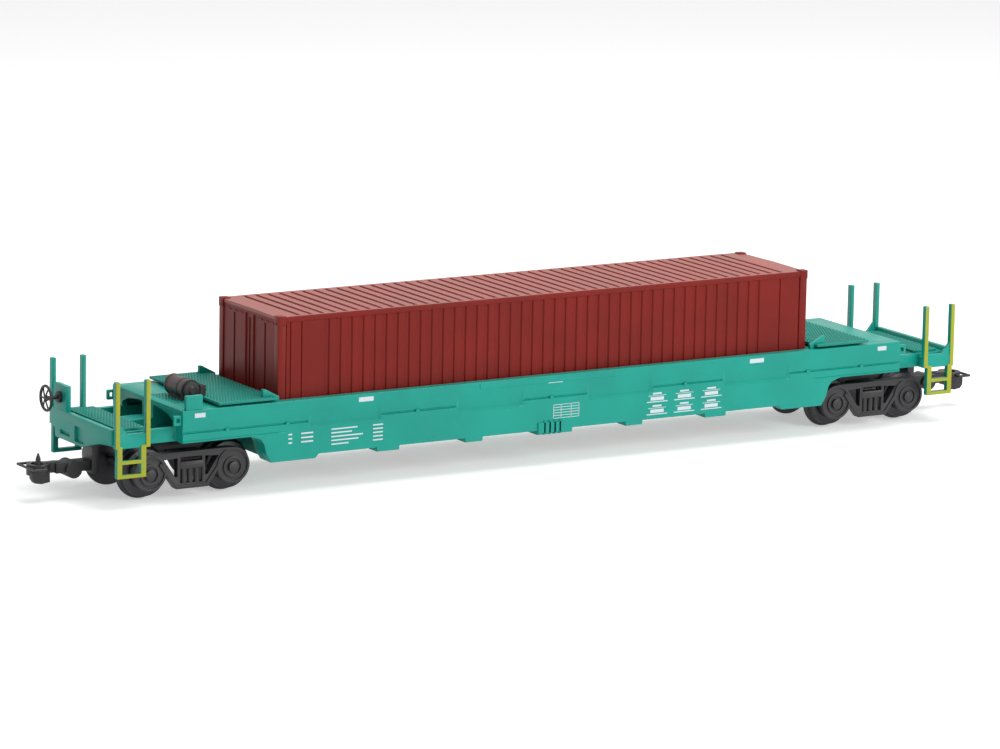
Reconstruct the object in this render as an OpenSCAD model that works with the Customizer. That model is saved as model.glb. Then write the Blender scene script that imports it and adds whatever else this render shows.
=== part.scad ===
// HO model of a well wagon that carries one 40-foot container.
// The car lies along X. Z is 0 at the bottom of the wheel flanges.

/* [Wheels and bogies] */
// Track gauge, between the rail heads
gauge = 16.5; // [14:0.5:18]
// Wheel diameter on the tread
wheel_d = 10.5; // [8:0.5:13]
// Height of the flange over the tread
flange_h = 0.8; // [0.5:0.1:1.2]
// Width of a wheel, flange and tread
wheel_w = 2.8; // [2.2:0.1:3.2]
// Axle diameter between the wheels
axle_d = 1.6; // [1.2:0.1:2.4]
// Diameter of the axle ends in the axle boxes
journal_d = 1.2; // [0.8:0.1:1.6]
// Distance between the two axles of a bogie
wheelbase = 20.5; // [17:0.5:25]
// Thickness of a bogie side frame
sideframe_t = 2.4; // [2:0.1:3]
// Room between the well end and the nearest flange
bogie_room = 2.55; // [2:0.05:4]
// Height of the coupler's centre
coupler_z = 7.4; // [7:0.1:9]
// Distance from the bogie's pivot to the tip of the coupler loop
coupler_reach = 34.4; // [34:0.1:40]

/* [Container] */
// Container length
container_l = 140.1; // [110:0.1:170]
// Container width
container_w = 28.0; // [22:0.1:34]
// Container height
container_h = 29.8; // [24:0.1:36]
// Thickness of the container's walls
container_t = 0.8; // [0.6:0.1:1.2]
// Side of a corner casting
casting = 2.0; // [1.6:0.1:2.6]

/* [Well] */
// Height of the ledges that carry the container
seat_z = 9.15; // [8:0.05:11]
// Thickness of the side sills
sill_t = 2.4; // [1.6:0.1:3.2]
// Room between container and side sill
side_room = 0.5; // [0.3:0.1:1]
// Room between container and well end
end_room = 0.35; // [0.3:0.05:1]
// Thickness of the well's end wall
well_end_t = 1.2; // [0.8:0.1:2]
// Height of the side sills over the arch
sill_over_arch = 7.2; // [5:0.1:9]
// Depth of the cross-bearers
bearer_h = 2.1; // [1.4:0.1:3]

/* [End platforms] */
// Room between flange tops and the platform's underside
arch_room = 1.2; // [0.8:0.1:2]
// Height of the low frame at the ends
frame_h = 3.1; // [2:0.1:4]
// Height of the studded deck over the side sills
deck_over_sill = 1.1; // [0.6:0.1:2]
// Length of the studded deck
deck_l = 14.4; // [12:0.1:15]
// Thickness of the plates in the wheel arches, across the car
arch_plate_t = 2.9; // [1:0.1:3.4]
// Thickness of the studded deck
deck_t = 0.6; // [0.4:0.1:1]
// Thickness of the cover plate at the height of the sills
plate_t = 0.6; // [0.4:0.1:1]
// Length of the low frame past the bogie's pivot
end_reach = 19.8; // [19:0.1:24]
// Length of the side sill past the bogie's pivot
sill_reach = 4.55; // [2:0.05:6]
// Distance between the two posts of a ladder
ladder_w = 7.4; // [6:0.1:9]
// Thickness of the ladder posts, across the car
post_t = 1.3; // [1:0.1:1.8]
// Width of the ladder posts, along the car
post_w = 1.0; // [0.8:0.1:1.6]
// Height of the ladder posts over the side sills
post_over_sill = 7.55; // [5:0.05:10]

/* [Brake gear] */
// Diameter of the brake cylinder
cylinder_d = 4.7; // [3:0.1:6]
// Length of the brake cylinder
cylinder_l = 9.7; // [6:0.1:12]
// Diameter of the handwheel
handwheel_d = 6.1; // [4:0.1:8]
// Distance of the handwheel from the end beam
handwheel_reach = 3.4; // [2:0.1:5]

/* [Hidden] */
$fn = 48;
eps = 0.02;
loop_t = 0.6;             // thickness of the coupler's wire
walk_l = 6.5;             // length of the walkway, along the car
beam_t = 1.2;             // thickness of the end beam
loop_w = 8.3;             // width of the coupler's loop
loop_x = 31.2;            // where the loop is hinged on the head, from the bogie's pivot
fit = 0.06;              // radial clearance of a pin in its hole

// Wheels
wheel_r = wheel_d / 2;
flange_r = wheel_r + flange_h;
axle_z = flange_r;
flange_t = 0.8;
back_y = gauge / 2 - 1.0;             // inner face of a wheel
face_y = back_y + wheel_w;            // outer face of a wheel
frame_in_y = face_y + 0.6;            // inner face of a side frame
frame_out_y = frame_in_y + sideframe_t;
box_r = 2.4;                          // radius of the ring on an axle box
frame_top = axle_z + 4.5;             // top of a side frame
frame_low = axle_z - 3.75;            // underside of its bottom bar
frame_foot = 3.9;                     // half length of its bottom bar
frame_end_r = 4.0;                    // radius of its round ends
frame_end_up = 0.35;                  // how far the round ends sit over the axle
spring_room = 3.4;                    // half length of the spring bay with its pillars
journal_end_y = frame_in_y + 1.5;

// Well and sills
inner_y = container_w / 2 + side_room;
sill_y = inner_y + sill_t;            // outer face of the side sills
well_in_x = container_l / 2 + end_room;
well_x = well_in_x + well_end_t;      // outer face of the well's end wall
pivot_x = well_x + bogie_room + flange_r + wheelbase / 2;
sill_x = pivot_x + sill_reach;        // end of the full-height side sill
end_x = pivot_x + end_reach;          // inner face of the end beam
arch_z = 2 * flange_r + arch_room;    // underside of the platform over the bogie
floor_z = arch_z + frame_h;           // top of the low frame
beam_top = floor_z + 1.0;             // top of the end beam
sill_top = arch_z + sill_over_arch;
deck_top = sill_top + deck_over_sill;
bearer_z = seat_z - bearer_h;         // underside of the cross-bearers
sill_bottom = bearer_z + 0.95;
arch_back = 6.6;                      // where the wheel arch meets the platform, from the well's end
walk_in_x = end_x - 8.2;              // inner edge of the walkway
low_y = sill_y - 3.3;                 // outer face of the low frame
waist_z = arch_z + 2.15;

// Ladders
post_y = sill_y - 1.3;                // centre of the posts
post_out_x = end_x + 0.2;             // centre of the outer post
post_in_x = post_out_x - ladder_w;
post_top = sill_top + post_over_sill;
step_bottom = 6.7;
stile_t = 1.2;

// Cross-bearers: [centre, length along X]
bearers = [[0, 9.3], [21.25, 4.5], [-21.25, 4.5], [43.45, 5.7], [-43.45, 5.7]];
end_bearer_l = 8.6;

module xz(y0, y1) {
  // an outline in X and Z carried from y0 to y1
  translate([0, y1, 0]) rotate([90, 0, 0]) linear_extrude(y1 - y0) children();
}

module bar(x0, x1, y0, y1, z0, z1) {
  // a block between two corners
  translate([x0, y0, z0]) cube([x1 - x0, y1 - y0, z1 - z0]);
}

// Side sill outline, from the middle to the +X end along the bottom, then up: [x, z]
sill_edge = [[well_x - 10.6, sill_bottom], [well_x - 9.6, bearer_z], [well_x + 1.4, bearer_z],
             [well_x + 2.6, bearer_z + 1.9], [well_x + 3.3, arch_z - 1.9], [well_x + 4.1, arch_z - 0.8],
             [well_x + arch_back, arch_z], [sill_x, arch_z], [sill_x, sill_top]];

module side_sill() {
  // pressed side sill with its waist line, tabs and wheel arches
  difference() {
    xz(inner_y, sill_y) {
      polygon(concat(sill_edge, [for (i = [len(sill_edge) - 1 : -1 : 0]) [-sill_edge[i][0], sill_edge[i][1]]]));
      for (b = bearers)
        translate([b[0] - b[1] / 2, bearer_z]) square([b[1], 2]);
    }
    for (s = [-1, 1]) {
      waist_groove(s * (sill_x + 1), s * (well_x - 7.9));
      waist_groove(s * 45.4, s * 26);
      waist_crease(s * 63.5, s * 45.6);
      waist_crease(s * 25.8, s * 8.7);
    }
    waist_groove(-8.5, 8.5);
  }
}

module waist_groove(x0, x1) {
  // narrow groove along the waist between two places
  translate([min(x0, x1), 0, 0]) rotate([90, 0, 90]) linear_extrude(abs(x1 - x0))
    polygon([[sill_y + eps, waist_z + 0.3], [sill_y - 0.3, waist_z], [sill_y + eps, waist_z - 0.25]]);
}

module waist_crease(x0, x1) {
  // wide crease, where the panel leans in and comes out again in a lip
  translate([min(x0, x1), 0, 0]) rotate([90, 0, 90]) linear_extrude(abs(x1 - x0))
    polygon([[sill_y + eps, waist_z + 2.6], [sill_y - 0.55, waist_z - 0.7],
             [sill_y + eps, waist_z - 1.5]]);
}

module side_sill_front() { color("lightseagreen") mirror([0, 1, 0]) side_sill(); }
module side_sill_rear() { color("lightseagreen") side_sill(); }

module well_frame() {
  // ledges and cross-bearers that the container stands on
  color("lightseagreen") {
    for (s = [-1, 1]) {
      bar(-well_in_x, well_in_x, s < 0 ? -inner_y : inner_y - 2.6, s < 0 ? -inner_y + 2.6 : inner_y,
          sill_bottom, seat_z);
      bar(s < 0 ? -well_in_x : well_in_x - end_bearer_l, s < 0 ? -well_in_x + end_bearer_l : well_in_x,
          -inner_y, inner_y, bearer_z, seat_z);
    }
    for (b = bearers)
      bar(b[0] - b[1] / 2, b[0] + b[1] / 2, -inner_y, inner_y, bearer_z, seat_z);
  }
}

module well_end() {
  // end wall of the well
  color("lightseagreen") bar(well_in_x, well_x, -inner_y, inner_y, bearer_z, sill_top);
}

module well_end_left() { mirror([1, 0, 0]) well_end(); }
module well_end_right() { well_end(); }

module arch_plates() {
  // plates inside the side sills that round off the wheel arches
  color("lightseagreen")
    for (sx = [-1, 1], sy = [-1, 1]) scale([sx, sy, 1])
      xz(inner_y - arch_plate_t, inner_y)
        polygon([[well_x, bearer_z], [well_x + 1.4, bearer_z], [well_x + 2.6, bearer_z + 1.9],
                 [well_x + 3.3, arch_z - 1.9], [well_x + 4.1, arch_z - 0.8], [well_x + arch_back, arch_z],
                 [well_x + arch_back, arch_z + 1.0], [well_x, arch_z + 1.0]]);
}

module platform() {
  // low frame over the bogie: floor plate, side channels, box under the deck and its top plate
  pin_r = 1.2;
  in_x = well_x + arch_back;
  step_x = sill_x - 1.2;
  color("darkcyan") difference() {
    union() {
      bar(in_x, pivot_x + 4, -low_y, low_y, arch_z, arch_z + 1.2);
      bar(well_x, in_x, -inner_y, inner_y, arch_z + 1.0, arch_z + 2.2);
      for (s = [-1, 1])
        bar(in_x, end_x, s < 0 ? -low_y : low_y - 1.4, s < 0 ? -low_y + 1.4 : low_y, arch_z, floor_z);
      bar(well_x, well_x + 1.2, -inner_y, inner_y, arch_z + 1.0, sill_top - 0.4);
      translate([step_x, 0, 0]) rotate([90, 0, 90]) linear_extrude(sill_x - step_x)
        polygon([[-inner_y, arch_z], [-low_y + 1.4, arch_z], [-low_y + 1.4, arch_z + 4.2], [-9.5, arch_z + 5.4],
                 [-4.5, arch_z + 6.0], [-2.6, arch_z + 6.0], [-2.6, arch_z], [2.6, arch_z], [2.6, arch_z + 6.0],
                 [4.5, arch_z + 6.0], [9.5, arch_z + 5.4], [low_y - 1.4, arch_z + 4.2], [low_y - 1.4, arch_z],
                 [inner_y, arch_z], [inner_y, sill_top - plate_t], [-inner_y, sill_top - plate_t]]);
      bar(well_x, sill_x, -2.6, 2.6, arch_z + 1.0, sill_top - plate_t);
      bar(step_x, end_x, -2.6, 2.6, arch_z, floor_z);
      bar(walk_in_x, end_x, -low_y, low_y, arch_z + 1.2, floor_z);
    }
    translate([pivot_x, 0, arch_z - 1]) cylinder(r = pin_r + fit, h = 20);
  }
}

module platform_left() { mirror([1, 0, 0]) platform(); }
module platform_right() { platform(); }

module end_beam() {
  // end plate, lower in the middle, with a recess behind the coupler and a pocket beside it
  y1 = post_y - post_t / 2 - 0.05;
  color("lightseagreen") difference() {
    translate([end_x + beam_t, 0, 0]) rotate([0, -90, 0]) linear_extrude(beam_t)
      polygon([[beam_top, -y1], [beam_top, y1], [arch_z + 0.6, y1], [arch_z - 0.3, 12.7], [arch_z - 2.3, 12.3],
               [arch_z - 2.3, -0.5], [arch_z, -8.9], [arch_z + 0.6, -y1]]);
    bar(end_x + beam_t / 2, end_x + 2 * beam_t, -1.4, 2.8, arch_z - 1.6, beam_top - 2.2);
    bar(end_x + beam_t / 2, end_x + 2 * beam_t, 5.2, 9.9, arch_z - 1.1, arch_z - 0.2);
  }
}

module end_beam_left() { mirror([1, 0, 0]) end_beam(); }
module end_beam_right() { end_beam(); }

module deck() {
  // studded deck over the well's end, raised on its front and rear edges' spacers
  color("cadetblue") {
    bar(well_x, well_x + deck_l, -sill_y + 0.2, sill_y - 0.2, deck_top - deck_t, deck_top);
    bar(well_x + 1.6, well_x + deck_l - 1, -inner_y + 0.4, inner_y - 0.4, sill_top - 0.4, deck_top - deck_t);
  }
}

module deck_left() { mirror([1, 0, 0]) deck(); }
module deck_right() { deck(); }

module walkway() {
  // studded walkway across the end
  color("cadetblue") bar(walk_in_x, walk_in_x + walk_l, -low_y + 1.2, low_y - 1.2, floor_z, floor_z + plate_t);
}

module walkway_left() { mirror([1, 0, 0]) walkway(); }
module walkway_right() { walkway(); }

module ladder() {
  // two grab posts over a plate, with a step ladder hanging below; the +X, +Y corner
  color("lightseagreen") {
    for (x = [post_in_x, post_out_x])
      bar(x - post_w / 2, x + post_w / 2, post_y - post_t / 2, post_y + post_t / 2, arch_z, post_top);
    bar(post_in_x, post_out_x, post_y - 0.6, post_y + 0.4, arch_z, floor_z);
    bar(post_in_x - post_w / 2, end_x, low_y, post_y, arch_z, floor_z - 0.6);
    for (x = [post_in_x + 1.1, post_out_x - 0.5])
      bar(x - stile_t / 2, x + stile_t / 2, post_y - 0.6, post_y + 0.65, step_bottom, arch_z + 0.5);
    for (z = [step_bottom, step_bottom + 3.1])
      bar(post_in_x + 1.1, post_out_x - 0.5, post_y - 0.6, post_y + 0.65, z, z + 0.8);
    xz(post_y - 0.5, post_y + 0.3)
      polygon([[post_out_x, floor_z - 0.5], [post_out_x - 3, floor_z - 0.5], [post_out_x - 0.5, floor_z + 2.4],
               [post_out_x, floor_z + 2.4]]);
  }
}

module ladder_left_front() { mirror([1, 0, 0]) mirror([0, 1, 0]) ladder(); }
module ladder_left_rear() { mirror([1, 0, 0]) ladder(); }
module ladder_right_front() { mirror([0, 1, 0]) ladder(); }
module ladder_right_rear() { ladder(); }

module container_guides() {
  // fins on the side sills that steer the container into the well
  color("lightseagreen")
    for (sx = [-1, 1], sy = [-1, 1])
      scale([sx, sy, 1]) xz(inner_y, inner_y + 0.9)
        polygon([[well_in_x, sill_top], [well_x, sill_top], [well_x, deck_top], [well_x + 2.9, deck_top],
                 [well_x + 2.9, deck_top + 1.7], [well_x + 2.2, deck_top + 1.7], [well_in_x, deck_top - 0.1]]);
}

module sill_brackets() {
  // small square rings on the ends of the side sills
  ring = 2.2;
  color("lightseagreen")
    for (sx = [-1, 1], sy = [-1, 1]) scale([sx, sy, 1])
      xz(sill_y - 1.2, sill_y - 0.5) translate([sill_x, sill_top - 3.2]) difference() {
        square([ring - 0.3, ring]);
        translate([0.5, 0.6]) square([ring - 1.4, ring - 1.2]);
      }
}

module brake_cylinder() {
  // brake cylinder across the car on the top plate, with its flange and foot
  z = sill_top + 0.1 + cylinder_d / 2;
  x = -pivot_x + 2.2;
  y0 = -8;
  color("dimgray") {
    translate([x, y0, z]) rotate([-90, 0, 0]) cylinder(d = cylinder_d, h = cylinder_l);
    translate([x, y0 - 0.8, z]) rotate([-90, 0, 0]) cylinder(d = cylinder_d - 1.0, h = 1);
    bar(x - 1.3, x + 1.3, y0 + 1.5, y0 + cylinder_l - 1.5, sill_top, z - 1.5);
  }
}

module brake_bracket() {
  // upright plate on the front side sill beside the brake cylinder
  color("lightseagreen") bar(-sill_x + 1, -sill_x + 5, -sill_y + 0.3, -sill_y + 1.3, sill_top, sill_top + 3.2);
}

module top_plate() {
  // cover plate at the height of the sills, between the deck and the step down
  color("mediumturquoise") bar(well_x + deck_l - 0.6, sill_x, -inner_y, inner_y, sill_top - plate_t, sill_top);
}

module top_plate_left() { mirror([1, 0, 0]) top_plate(); }
module top_plate_right() { top_plate(); }

module handwheel() {
  // spoked brake handwheel facing along the car, with its shaft and ratchet
  color("black") translate([-end_x - beam_t, 10, sill_top - 0.2]) rotate([0, -90, 0]) {
    translate([0, 0, handwheel_reach]) {
      rotate_extrude() translate([handwheel_d / 2 - 0.35, 0]) circle(d = 0.7);
      cylinder(d = 1.4, h = 0.8, center = true);
      for (a = [0 : 60 : 300])
        rotate([0, 0, a]) translate([0, -0.2, -0.2]) cube([handwheel_d / 2 - 0.3, 0.4, 0.4]);
    }
    cylinder(d = 0.9, h = handwheel_reach);
    cylinder(d = 2.6, h = 0.8);
  }
}

module handwheel_stand() {
  // plate over the end beam that carries the handwheel
  color("lightseagreen") bar(-end_x - beam_t, -end_x, 7.0, 13.0, beam_top, deck_top + 1.5);
}

// Container

module container_floor() {
  color("brown") bar(-container_l / 2 + casting, container_l / 2 - casting,
                     -container_w / 2 + container_t + 0.2, container_w / 2 - container_t - 0.2,
                     seat_z + 0.2, seat_z + 1.6);
}

module container_side() {
  // side wall between the corner posts
  color("firebrick") bar(-container_l / 2 + casting, container_l / 2 - casting,
                         container_w / 2 - container_t - 0.2, container_w / 2 - 0.2,
                         seat_z + 0.2, seat_z + container_h - container_t - 0.2);
}

module container_side_front() { mirror([0, 1, 0]) container_side(); }
module container_side_rear() { container_side(); }

module container_end() {
  color("firebrick") bar(container_l / 2 - container_t - 0.2, container_l / 2 - 0.2,
                         -container_w / 2 + casting, container_w / 2 - casting,
                         seat_z + 0.2, seat_z + container_h - container_t - 0.2);
}

module container_front_wall() { container_end(); }
module container_doors() { mirror([1, 0, 0]) container_end(); }

module container_roof() {
  color("indianred") bar(-container_l / 2 + casting, container_l / 2 - casting,
                         -container_w / 2 + casting, container_w / 2 - casting,
                         seat_z + container_h - container_t - 0.2, seat_z + container_h - 0.2);
}

module container_posts() {
  // corner posts joined by the roof rails and the bottom rails
  rail = 1.2;
  top = seat_z + container_h;
  color("firebrick") for (sy = [-1, 1]) scale([1, sy, 1]) {
    for (sx = [-1, 1]) scale([sx, 1, 1])
      bar(container_l / 2 - casting, container_l / 2 - 0.1, container_w / 2 - casting, container_w / 2 - 0.1,
          seat_z + casting, top - casting);
    for (z = [seat_z + 0.2, top - 0.2 - rail])
      bar(-container_l / 2 + casting, container_l / 2 - casting, container_w / 2 - 0.2,
          container_w / 2 - 0.05, z, z + rail);
  }
}

module corner_castings() {
  // the eight corner fittings
  color("firebrick")
    for (sx = [-1, 1], sy = [-1, 1], z = [seat_z, seat_z + container_h - casting]) scale([sx, sy, 1])
      bar(container_l / 2 - casting, container_l / 2, container_w / 2 - casting, container_w / 2, z, z + casting);
}

// Bogies

module frame_web() {
  // outline of a side frame: top chord, diagonals down to the bottom bar, round ends at the axle boxes
  hw = wheelbase / 2;
  polygon([[-hw, frame_top], [hw, frame_top], [hw, axle_z + 2], [hw - 1.9, axle_z + 2.3], [frame_foot, frame_low],
           [-frame_foot, frame_low], [-hw + 1.9, axle_z + 2.3], [-hw, axle_z + 2]]);
  for (s = [-1, 1]) translate([s * hw, axle_z + frame_end_up]) circle(r = frame_end_r);
}

module frame_holes() {
  // the two windows beside the springs and the spring opening
  hw = wheelbase / 2;
  for (s = [-1, 1])
    polygon([[s * spring_room, axle_z + 3.1], [s * (hw - 3.5), axle_z + 2.9], [s * (spring_room + 0.6), axle_z - 1.1],
             [s * spring_room, axle_z - 1.1]]);
  translate([-spring_room + 0.7, axle_z - 2.6]) square([2 * spring_room - 1.4, 5.8]);
}

module sideframe() {
  // three-piece side frame with its ribs, spring group and ringed axle boxes
  hw = wheelbase / 2;
  web_y = frame_out_y - 0.7;
  rib_y = frame_out_y - 0.3;
  rib = 0.5;
  difference() {
    union() {
      xz(frame_in_y, web_y) difference() {
        frame_web();
        frame_holes();
      }
      xz(web_y - 0.1, rib_y) {
        translate([-hw, frame_top - rib]) square([2 * hw, rib]);
        translate([-frame_foot, frame_low]) square([2 * frame_foot, rib + 0.3]);
        for (s = [-1, 1]) {
          polygon([[s * frame_foot, frame_low], [s * (hw - 2.2), axle_z + 1.9], [s * (hw - 2.7), axle_z + 2.4],
                   [s * (frame_foot - 0.7), frame_low + 0.4]]);
          translate([s * hw, axle_z + frame_end_up]) difference() {
            circle(r = frame_end_r);
            circle(r = frame_end_r - rib);
          }
          translate([s * hw, axle_z]) difference() {
            circle(r = box_r);
            circle(r = box_r - 0.6);
          }
        }
      }
      for (x = [-1.6, 0, 1.6])
        translate([x, frame_in_y + 0.9, axle_z - 2.7]) cylinder(r = 0.7, h = 3.4);
      bar(-spring_room + 0.6, spring_room - 0.6, frame_in_y, frame_out_y - 0.6, axle_z + 0.6, axle_z + 2.2);
      for (s = [-1, 1]) translate([s * hw, 0, axle_z]) rotate([-90, 0, 0])
        translate([0, 0, web_y - 0.2]) cylinder(r = 1.2, h = frame_out_y - web_y + 0.2);
    }
    for (s = [-1, 1])
      translate([s * hw, frame_in_y - 0.1, axle_z]) rotate([-90, 0, 0])
        cylinder(r = journal_d / 2 + fit, h = journal_end_y - frame_in_y + 0.3);
  }
}

module bogie_frame() {
  // one moulding: two side frames joined by the bolster, with the coupler's draw beam
  color("dimgray") difference() {
    union() {
      sideframe();
      mirror([0, 1, 0]) sideframe();
      bar(-3.6, 3.6, -frame_in_y - 0.2, frame_in_y + 0.2, axle_z + 2.6, axle_z + 4.0);
      bar(-wheelbase / 2 - 2, wheelbase / 2 + 2, -back_y + 0.7, back_y - 0.7, axle_z + 2.6, axle_z + 5.6);
      translate([0, 0, axle_z + 5]) cylinder(d = 6.4, h = arch_z - axle_z - 5.05);
      bar(-1.9, 19.2, -2.2, 2.2, flange_r + wheel_r - 0.2, flange_r + wheel_r + 0.8 + 0.2);
      bar(17.4, 19.2, -2.2, 2.2, coupler_z - 2.2, flange_r + wheel_r + 0.8);
    }
    translate([0, 0, axle_z]) cylinder(r = 1.2 + fit, h = 12);
  }
}

module place_bogie(side) {
  // puts a bogie that faces +X at one end of the car
  if (side > 0) translate([pivot_x, 0, 0]) children();
  else mirror([1, 0, 0]) translate([pivot_x, 0, 0]) children();
}

module bogie_frame_left() { place_bogie(-1) bogie_frame(); }
module bogie_frame_right() { place_bogie(1) bogie_frame(); }

module bogie_pin() {
  // pivot screw through the bolster into the platform
  color("silver") {
    translate([0, 0, axle_z + 1.6]) cylinder(d = 3.6, h = 1);
    translate([0, 0, axle_z + 2.4]) cylinder(r = 1.2, h = arch_z + 1.0 - axle_z - 2.4);
  }
}

module bogie_pin_left() { place_bogie(-1) bogie_pin(); }
module bogie_pin_right() { place_bogie(1) bogie_pin(); }

module coupler() {
  // shank with its spring boss, hook head and upright hook pin
  z = coupler_z;
  color("black") {
    bar(19.2, 27.6, -1.7, 1.7, z - 1.5, z + 0.7);
    translate([23.6, 2.5, z - 0.9]) rotate([90, 0, 0]) cylinder(r = 1.9, h = 5.0);
    bar(26.6, 30.4, -1.2, 1.2, z - 1.3, z + 0.9);
    difference() {
      union() {
        translate([31.2, 0, z - 1.6]) cylinder(r = 2.6, h = 2.4);
        xz(-2.2, -0.6) polygon([[29.4, z - 3.1], [31.4, z - 3.4], [33.0, z - 3.1], [33.6, z - 2.2], [33.6, z - 0.6],
                                [29.4, z - 0.6]]);
        bar(29.4, 31.6, -0.7, 1.6, z - 2.4, z - 1.2);
      }
      translate([31.2, 0, z - 0.6]) cylinder(r = 1.6, h = 3);
    }
    translate([31.2, 0, z - 0.8]) cylinder(r = 0.55, h = 2.8);
    translate([31.2, 0, z + 1.9]) cylinder(r1 = 0.55, r2 = 0.15, h = 1.2, $fn = 24);
  }
}

module coupler_left() { place_bogie(-1) coupler(); }
module coupler_right() { place_bogie(1) coupler(); }

module coupler_loop() {
  // wire loop around the head, hinged in its sides
  z = coupler_z + 0.2;
  w = loop_w / 2;
  r = loop_t / 2;
  color("black") {
    translate([coupler_reach - r, -w, z]) rotate([-90, 0, 0]) cylinder(r = r, h = 2 * w);
    for (s = [-1, 1]) {
      translate([loop_x, s * w, z]) rotate([0, 90, 0]) cylinder(r = r, h = coupler_reach - r - loop_x);
      translate([coupler_reach - r, s * w, z]) sphere(r = r);
      translate([loop_x, s * w, z]) sphere(r = r);
      translate([loop_x, s * w, z]) rotate([s * 90, 0, 0]) cylinder(r = r, h = w - 2.6 + 0.3);
    }
  }
}

module coupler_loop_left() { place_bogie(-1) coupler_loop(); }
module coupler_loop_right() { place_bogie(1) coupler_loop(); }

module wheel_pair(x) {
  // two flanged wheels on one axle
  color("gray")
    for (s = [-1, 1])
      translate([x, 0, axle_z]) rotate([90, 0, 0]) scale([1, 1, -s]) difference() {
        rotate_extrude()
          polygon([[axle_d / 2, back_y], [flange_r - 0.2, back_y], [flange_r, back_y + 0.3],
                   [flange_r - 0.1, back_y + flange_t - 0.2], [wheel_r + 0.1, back_y + flange_t + 0.2],
                   [wheel_r, face_y], [axle_d / 2, face_y]]);
      }
}

module wheel_axle(x) {
  color("silver") translate([x, 0, axle_z]) rotate([90, 0, 0]) {
    cylinder(d = axle_d, h = 2 * face_y, center = true);
    cylinder(d = journal_d, h = 2 * journal_end_y, center = true);
  }
}

// Axles from the -X end to the +X end
axle_x = [-pivot_x - wheelbase / 2, -pivot_x + wheelbase / 2, pivot_x - wheelbase / 2, pivot_x + wheelbase / 2];

side_sill_front();
side_sill_rear();
well_frame();
well_end_left();
well_end_right();
arch_plates();
platform_left();
platform_right();
end_beam_left();
end_beam_right();
deck_left();
deck_right();
walkway_left();
walkway_right();
ladder_left_front();
ladder_left_rear();
ladder_right_front();
ladder_right_rear();
container_guides();
sill_brackets();
brake_cylinder();
brake_bracket();
top_plate_left();
top_plate_right();
handwheel();
handwheel_stand();
container_floor();
container_side_front();
container_side_rear();
container_front_wall();
container_doors();
container_roof();
container_posts();
corner_castings();
bogie_frame_left();
bogie_frame_right();
bogie_pin_left();
bogie_pin_right();
coupler_left();
coupler_right();
coupler_loop_left();
coupler_loop_right();
wheel_pair(axle_x[0]);  // wheels_1
wheel_pair(axle_x[1]);  // wheels_2
wheel_pair(axle_x[2]);  // wheels_3
wheel_pair(axle_x[3]);  // wheels_4
wheel_axle(axle_x[0]);  // axle_1
wheel_axle(axle_x[1]);  // axle_2
wheel_axle(axle_x[2]);  // axle_3
wheel_axle(axle_x[3]);  // axle_4
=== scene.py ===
# Finish of a 1:87 model well wagon with a 40-foot container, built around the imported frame.
# Lengths are in metres in the frame's own axes: X along the wagon, Z up, 0 at the flange bottoms.
import math
import bpy
import numpy as np
from mathutils import Matrix, Vector


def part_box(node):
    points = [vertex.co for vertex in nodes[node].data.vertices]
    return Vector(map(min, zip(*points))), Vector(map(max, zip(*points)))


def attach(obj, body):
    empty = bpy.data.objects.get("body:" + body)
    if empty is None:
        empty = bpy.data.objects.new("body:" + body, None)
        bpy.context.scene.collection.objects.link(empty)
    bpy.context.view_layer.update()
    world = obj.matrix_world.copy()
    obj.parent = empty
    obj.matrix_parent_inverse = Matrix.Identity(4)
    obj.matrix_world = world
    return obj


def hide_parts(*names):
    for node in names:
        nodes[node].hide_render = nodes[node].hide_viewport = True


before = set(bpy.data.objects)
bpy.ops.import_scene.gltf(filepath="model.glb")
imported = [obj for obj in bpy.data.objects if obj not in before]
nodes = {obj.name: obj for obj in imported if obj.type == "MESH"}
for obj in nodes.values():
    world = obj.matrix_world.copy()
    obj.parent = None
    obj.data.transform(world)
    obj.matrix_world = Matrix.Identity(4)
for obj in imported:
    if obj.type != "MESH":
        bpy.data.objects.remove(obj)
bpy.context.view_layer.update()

# ---------------------------------------------------------------------------------------
# Side sills
# Two deep side sills in satin teal plastic, each moulded in one piece. The panel leans in
# to a crease along the waist and drops in tabs at the cross-bearers. Each is one section
# carried along the car.
# ---------------------------------------------------------------------------------------
MM = 0.001


def srgb(r, g, b):
    """Linear colour of an 8-bit display colour: ((c + 0.055) / 1.055) to the power 2.4."""
    c = np.array([r, g, b]) / 255.0
    return tuple(np.where(c <= 0.04045, c / 12.92, ((c + 0.055) / 1.055) ** 2.4)) + (1.0,)


class Field:
    """A shader socket with arithmetic: an expression on fields adds its Math nodes."""

    def __init__(self, tree, socket):
        self.tree, self.socket = tree, socket

    def node(self, kind, inputs, output=0, **settings):
        """Adds a node of a type, with its settings first and then its sockets' values or links."""
        made = self.tree.nodes.new(kind)
        for key, value in settings.items():
            setattr(made, key, value)
        for key, value in inputs.items():
            if isinstance(value, Field):
                self.tree.links.new(value.socket, made.inputs[key])
            else:
                made.inputs[key].default_value = value
        return Field(self.tree, made.outputs[output])

    def math(self, operation, other=0.0):
        """Adds a Math node of this field and another field or number."""
        return self.node("ShaderNodeMath", {0: self, 1: other}, operation=operation)

    def __add__(self, other): return self.math("ADD", other)
    def __radd__(self, other): return self.math("ADD", other)
    def __mul__(self, other): return self.math("MULTIPLY", other)
    def __rmul__(self, other): return self.math("MULTIPLY", other)
    def __abs__(self): return self.math("ABSOLUTE")

    def ramp(self, low, high):
        """0 below low, 1 above high, straight between."""
        return self.node("ShaderNodeMapRange", {0: self, 1: low, 2: high})

    def mix(self, colour_a, colour_b):
        """colour_a where the field is 0, colour_b where it is 1."""
        return self.node("ShaderNodeMix", {0: self, 6: colour_a, 7: colour_b}, output=2, data_type="RGBA")


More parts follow.
